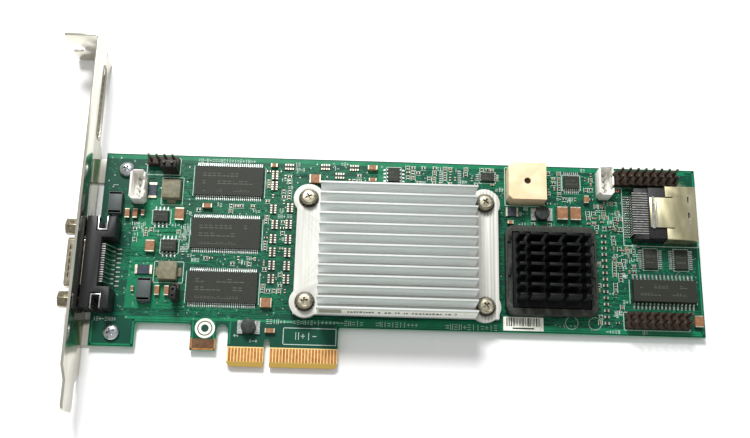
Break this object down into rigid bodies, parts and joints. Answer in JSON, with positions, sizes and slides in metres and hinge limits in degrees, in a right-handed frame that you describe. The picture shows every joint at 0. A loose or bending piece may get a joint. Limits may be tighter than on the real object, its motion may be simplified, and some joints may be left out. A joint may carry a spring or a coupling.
{
  "type": "raid controller card",
  "caption": "Flat green circuit card with edge fingers, slot bracket, two finned heatsinks, memory chips and two four-lane storage ports.",
  "frame": {"origin": "middle of the card-edge key notch, on the fingers' lower edge, halfway through the board's thickness", "axes": "+X along the card away from the bracket, +Y from the card-edge fingers towards the far long edge, +Z out of the component face"},
  "size_m": [0.2078, 0.12, 0.0184],
  "materials": {
    "board": "gloss solder mask",
    "gold": "gold plated",
    "bracket_nickel": "bright nickel plate",
    "screw_steel": "zinc plate",
    "shell_steel": "nickel plate",
    "port_black": "moulded black",
    "contact_tin": "tinned",
    "jack_steel": "nickel plate",
    "clip_steel": "tinned",
    "heatsink_aluminium": "satin extrusion",
    "washer_steel": "plain",
    "spacer_steel": "tinned",
    "processor_black": "moulded",
    "pad_grey": "soft",
    "fin_dark": "black anodised",
    "frame_dark": "moulded",
    "chip_black": "moulded",
    "lead_tin": "tinned",
    "buzzer_ivory": "moulded",
    "header_ivory": "moulded",
    "pin_gold": "flash gold",
    "header_black": "moulded",
    "jumper_black": "moulded",
    "cage_metal": "nickel plate",
    "coil_grey": "ferrite",
    "drum_black": "ferrite",
    "tantalum_black": "moulded",
    "ceramic_brown": "fired ceramic",
    "terminal_tin": "tinned",
    "shunt_black": "glazed",
    "resistor_black": "glazed",
    "label_paper": "paper"
  },
  "bodies": {
    "root": {"circuit_board": "board", "gold_fingers": "gold", "mounting_bracket": "bracket_nickel", "bracket_screws": "screw_steel", "external_port_shell": "shell_steel", "external_port_housing": "port_black", "external_port_tongue": "port_black", "external_port_contacts": "contact_tin", "external_port_jack_sockets": "jack_steel", "external_port_clips": "clip_steel", "processor_heatsink": "heatsink_aluminium", "heatsink_screws": "screw_steel", "heatsink_lock_washers": "washer_steel", "heatsink_spacers": "spacer_steel", "raid_processor": "processor_black", "thermal_pad": "pad_grey", "pin_fin_heatsink": "fin_dark", "heatsink_clip_frame": "frame_dark", "io_controller": "chip_black", "memory_chip_1": "chip_black", "memory_chip_2": "chip_black", "memory_chip_3": "chip_black", "memory_leads_1": "lead_tin", "memory_leads_2": "lead_tin", "memory_leads_3": "lead_tin", "flash_chip": "chip_black", "flash_leads": "lead_tin", "bus_buffers": "chip_black", "bus_buffer_leads": "lead_tin", "monitor_chips": "chip_black", "monitor_chip_leads": "lead_tin", "power_transistors": "chip_black", "power_transistor_leads": "lead_tin", "driver_chips": "chip_black", "driver_chip_leads": "lead_tin", "buzzer": "buzzer_ivory", "left_pin_header": "header_black", "left_pin_header_pins": "pin_gold", "three_pin_header": "header_black", "three_pin_header_pins": "pin_gold", "jumper_caps": "jumper_black", "internal_port_cage": "cage_metal", "internal_port_housing": "port_black", "internal_port_contacts": "contact_tin", "left_cable_header": "header_ivory", "left_cable_header_pins": "contact_tin", "right_cable_header": "header_ivory", "right_cable_header_pins": "contact_tin", "top_pin_header": "header_black", "top_pin_header_pins": "pin_gold", "bottom_pin_header": "header_black", "bottom_pin_header_pins": "pin_gold", "ceramic_capacitors": "ceramic_brown", "ceramic_terminals": "terminal_tin", "sense_resistors": "shunt_black", "chip_resistors": "resistor_black", "power_inductors": "coil_grey", "round_inductors": "drum_black", "tantalum_capacitors": "tantalum_black", "labels": "label_paper"}
  },
  "joints": []
}
